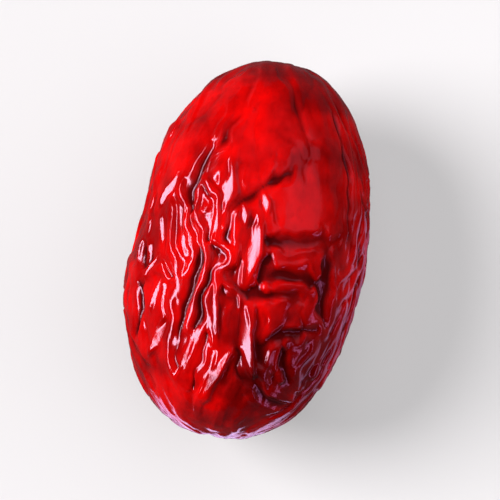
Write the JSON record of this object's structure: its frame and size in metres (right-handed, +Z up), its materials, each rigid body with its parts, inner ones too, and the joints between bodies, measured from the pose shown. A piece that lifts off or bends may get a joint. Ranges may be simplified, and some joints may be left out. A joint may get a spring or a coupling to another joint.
{
  "type": "dried jujube fruit",
  "caption": "Whole dried jujube, barrel shaped and lying on its side, with glossy deep red wrinkled skin, a stem hollow at one end and a small tip dimple at the other.",
  "frame": {"origin": "bottom centre of the bounding box, on the small flat spot that the fruit rests on", "axes": "+X along the fruit from the stem end to the tip, +Z up, +Y to the fruit's left seen from the stem end"},
  "size_m": [0.042, 0.026, 0.025],
  "materials": {
    "skin": "glossy wrinkled dried skin, deep red"
  },
  "bodies": {
    "root": {"jujube": "skin"}
  },
  "joints": []
}
